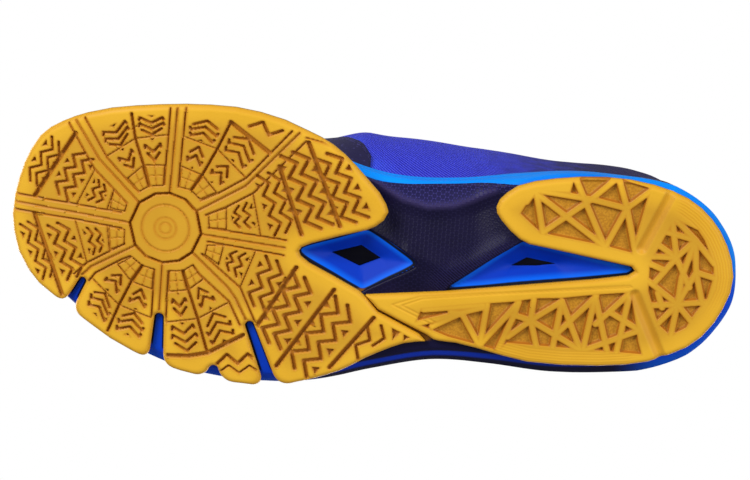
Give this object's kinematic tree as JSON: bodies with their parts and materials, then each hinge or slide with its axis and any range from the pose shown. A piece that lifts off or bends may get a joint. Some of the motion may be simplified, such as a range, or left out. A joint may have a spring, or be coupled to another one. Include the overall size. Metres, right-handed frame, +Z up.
{
  "type": "court shoe",
  "caption": "Low-cut right court shoe with a grooved rubber tread around a turning disc, recessed cushioning windows, an arch shank, a layered upper and a folding tongue.",
  "frame": {"origin": "middle of the shoe's footprint, on the floor plane that the tread stands on", "axes": "+X to the toe, +Y to the inner (medial) side, +Z up; a right shoe"},
  "size_m": [0.295, 0.1142, 0.1202],
  "materials": {
    "gum_rubber": "matte gum rubber, slightly translucent yellow, moulded tread",
    "azure_foam": "satin moulded foam",
    "navy_plastic": "fine hexagon-textured moulded plastic",
    "black_rubber": "matte",
    "board_fabric": "stitched non-woven board",
    "lining_fabric": "brushed knit",
    "stiffener_plastic": "thermoplastic sheet",
    "violet_mesh": "coated mesh with fine diagonal ribs",
    "navy_leather": "grained synthetic leather, stitched edges",
    "padding_foam": "soft foam"
  },
  "bodies": {
    "shoe": {"outsole_forefoot": "gum_rubber", "outsole_rearfoot": "gum_rubber", "midsole": "azure_foam", "shank": "navy_plastic", "window_pad_front": "black_rubber", "window_pad_rear": "black_rubber", "strobel_board": "board_fabric", "sockliner": "lining_fabric", "heel_counter": "stiffener_plastic", "toe_puff": "stiffener_plastic", "vamp": "violet_mesh", "quarter_medial": "violet_mesh", "quarter_lateral": "violet_mesh", "eyestay_medial": "navy_leather", "eyestay_lateral": "navy_leather", "toe_overlay": "navy_leather", "heel_overlay": "navy_leather", "foot_lining": "lining_fabric", "collar_padding": "padding_foam", "collar_lining": "lining_fabric", "tongue_lower": "violet_mesh"},
    "tongue": {"tongue_upper": "violet_mesh"}
  },
  "joints": [
    {"name": "tongue_fold", "type": "hinge", "parent": "shoe", "child": "tongue", "pos_m": [-0.0045, 0.001, 0.1105], "axis": [0, 1, 0], "range_deg": [-2, 60], "stiffness_Nm_per_rad": 0.05}
  ]
}
